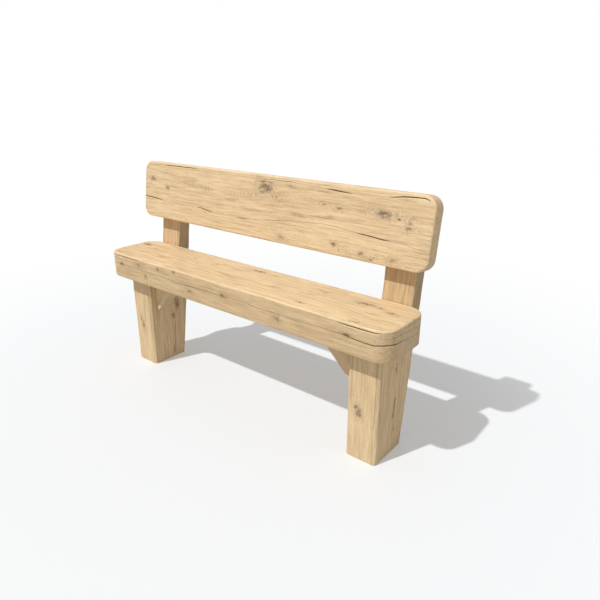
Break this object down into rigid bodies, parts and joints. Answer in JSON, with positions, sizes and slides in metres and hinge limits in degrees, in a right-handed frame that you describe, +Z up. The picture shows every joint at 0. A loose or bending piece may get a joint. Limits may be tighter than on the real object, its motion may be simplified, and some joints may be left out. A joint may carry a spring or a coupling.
{
  "type": "wooden bench with back",
  "caption": "Heavy rustic oak bench: thick seat plank on tapered block legs with corner braces, and a leaning back plank on flat posts.",
  "frame": {"origin": "on the floor, under the centre of the bench's bounding box", "axes": "+X along the bench to the right as seen by someone facing its front, +Y from the front to the back, +Z up"},
  "size_m": [1.2, 0.3048, 0.7608],
  "materials": {
    "seat_oak": "brushed oak, matt oil, rounded edges, drying cracks",
    "back_oak": "brushed oak with knots, matt oil",
    "leg_oak": "brushed oak, matt oil",
    "post_oak": "brushed oak, matt oil",
    "brace_oak": "sawn oak, matt oil",
    "dowel_wood": "plain turned hardwood",
    "peg_oak": "oak end grain, cut flush",
    "zinc_steel": "dull zinc plating"
  },
  "bodies": {
    "root": {"seat_plank": "seat_oak", "back_plank": "back_oak", "left_leg": "leg_oak", "right_leg": "leg_oak", "left_post": "post_oak", "right_post": "post_oak", "left_brace": "brace_oak", "right_brace": "brace_oak", "seat_dowels": "dowel_wood", "brace_dowels": "dowel_wood", "tenon_pegs": "peg_oak", "back_screws": "zinc_steel", "back_washers": "zinc_steel", "seat_screws": "zinc_steel", "seat_washers": "zinc_steel"}
  },
  "joints": []
}
